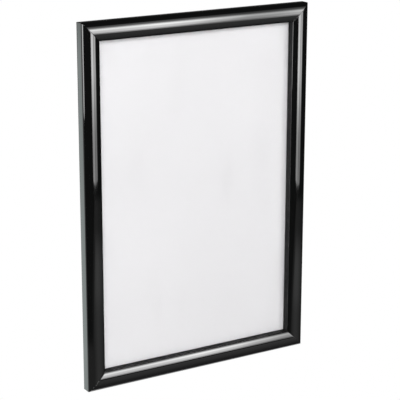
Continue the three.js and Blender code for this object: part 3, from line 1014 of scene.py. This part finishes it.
class POSTERFRAME_OT_glazing(bpy.types.Operator):
    """Give the glazing its non-glare finish"""

    bl_idname = "posterframe.glazing"
    bl_label = "Glazing"

    def execute(self, context):
        dress("glazing", clear_glazing(context.scene.poster_sheets))
        return {"FINISHED"}


class POSTERFRAME_OT_insert(bpy.types.Operator):
    """Give the insert sheet its paper finish"""

    bl_idname = "posterframe.insert"
    bl_label = "Insert sheet"

    def execute(self, context):
        dress("insert_sheet", white_paper(context.scene.poster_sheets))
        return {"FINISHED"}


class POSTERFRAME_OT_backing(bpy.types.Operator):
    """Give the backing board its hardboard finish"""

    bl_idname = "posterframe.backing"
    bl_label = "Backing board"

    def execute(self, context):
        dress("backing_board", pressed_board(context.scene.poster_sheets))
        return {"FINISHED"}


class POSTERFRAME_OT_nails(bpy.types.Operator):
    """Give the V-nails across the mitres their steel finish"""

    bl_idname = "posterframe.nails"
    bl_label = "V-nails"

    def execute(self, context):
        look = context.scene.poster_hardware
        name = "blued nail steel"
        steel = plated_steel(look, name, look.nail_colour, rough=0.34, brushed=(1, 1, 6))
        for node in frame["nodes"]:
            if node.startswith("v_nail_"):
                dress(node, steel)
        return {"FINISHED"}


class POSTERFRAME_OT_turn_buttons(bpy.types.Operator):
    """Build the eight stamped turn buttons that hold the backing board"""

    bl_idname = "posterframe.turn_buttons"
    bl_label = "Turn buttons"

    def execute(self, context):
        look = context.scene.poster_hardware
        steel = plated_steel(look, "zinc plate", look.zinc_colour, rough=0.26, brushed=(1, 1, 8))
        for body in PIVOTS:
            if body.startswith("button_"):
                build_button(look, body.removeprefix("button_"), steel)
        return {"FINISHED"}


class POSTERFRAME_OT_screws(bpy.types.Operator):
    """Build the pan-head screws of the turn buttons and the hangers"""

    bl_idname = "posterframe.screws"
    bl_label = "Screws"

    def execute(self, context):
        look = context.scene.poster_hardware
        steel = plated_steel(look, "zinc screw", look.zinc_colour, rough=0.22, brushed=(1, 5, 1))
        for node in frame["nodes"]:
            if "_screw_" in node:
                build_screw(look, node, steel)
        return {"FINISHED"}


class POSTERFRAME_OT_hanger_straps(bpy.types.Operator):
    """Build the two rolled hanger straps"""

    bl_idname = "posterframe.hanger_straps"
    bl_label = "Hanger straps"

    def execute(self, context):
        look = context.scene.poster_hardware
        steel = plated_steel(look, "zinc strap", look.zinc_colour, rough=0.24, brushed=(8, 1, 1))
        for side in ("left", "right"):
            build_strap(look, side, steel)
        return {"FINISHED"}


class POSTERFRAME_OT_hanger_rings(bpy.types.Operator):
    """Build the two D-rings that swing in the hanger straps"""

    bl_idname = "posterframe.hanger_rings"
    bl_label = "D-rings"

    def execute(self, context):
        look = context.scene.poster_hardware
        steel = plated_steel(look, "nickel wire", look.nickel_colour, rough=0.16, brushed=(1, 4, 1))
        for side in ("left", "right"):
            build_ring(look, side, steel)
        return {"FINISHED"}


class POSTERFRAME_OT_bumpers(bpy.types.Operator):
    """Build the two rubber wall bumpers"""

    bl_idname = "posterframe.bumpers"
    bl_label = "Wall bumpers"

    def execute(self, context):
        look = context.scene.poster_hardware
        rubber = moulded_rubber(look)
        for side in ("left", "right"):
            build_bumper(look, side, rubber)
        return {"FINISHED"}


class POSTERFRAME_OT_stage(bpy.types.Operator):
    """Set the floor, the soft lamps, the room and the camera"""

    bl_idname = "posterframe.stage"
    bl_label = "Stage"

    def execute(self, context):
        look = context.scene.poster_studio
        lay_floor(look)
        add_panel(look, "key", KEY_UPWARD, KEY_ACROSS)
        add_panel(look, "side")
        add_panel(look, "front")
        add_panel(look, "rear").color = look.rear_colour
        add_panel(look, "back")
        light_room(look)
        aim_camera(look)
        context.scene.view_settings.view_transform = "Standard"
        return {"FINISHED"}


OPERATORS = (
    POSTERFRAME_OT_rails,
    POSTERFRAME_OT_glazing,
    POSTERFRAME_OT_insert,
    POSTERFRAME_OT_backing,
    POSTERFRAME_OT_nails,
    POSTERFRAME_OT_turn_buttons,
    POSTERFRAME_OT_screws,
    POSTERFRAME_OT_hanger_straps,
    POSTERFRAME_OT_hanger_rings,
    POSTERFRAME_OT_bumpers,
    POSTERFRAME_OT_stage,
)
SETTINGS = {
    "poster_rails": RailSettings,
    "poster_sheets": SheetSettings,
    "poster_hardware": HardwareSettings,
    "poster_studio": StudioSettings,
}


class POSTERFRAME_PT_panel(bpy.types.Panel):
    """Lists the pieces, and the sizes and colours they are built from"""

    bl_idname = "POSTERFRAME_PT_panel"
    bl_label = "Poster Frame"
    bl_space_type = "VIEW_3D"
    bl_region_type = "UI"
    bl_category = "Poster Frame"

    def draw(self, context):
        for operator in OPERATORS:
            self.layout.operator(operator.bl_idname)
        for name, group in SETTINGS.items():
            box = self.layout.box()
            box.label(text=group.__doc__)
            for setting in group.__annotations__:
                box.prop(getattr(context.scene, name), setting)


CLASSES = (*SETTINGS.values(), *OPERATORS, POSTERFRAME_PT_panel)


def register():
    for made in CLASSES:
        bpy.utils.register_class(made)
    for name, group in SETTINGS.items():
        setattr(bpy.types.Scene, name, PointerProperty(type=group))


def unregister():
    for name in SETTINGS:
        delattr(bpy.types.Scene, name)
    for made in reversed(CLASSES):
        bpy.utils.unregister_class(made)


def main():
    register()
    for operator in OPERATORS:
        group, name = operator.bl_idname.split(".")
        getattr(getattr(bpy.ops, group), name)()


if __name__ == "__main__":
    main()
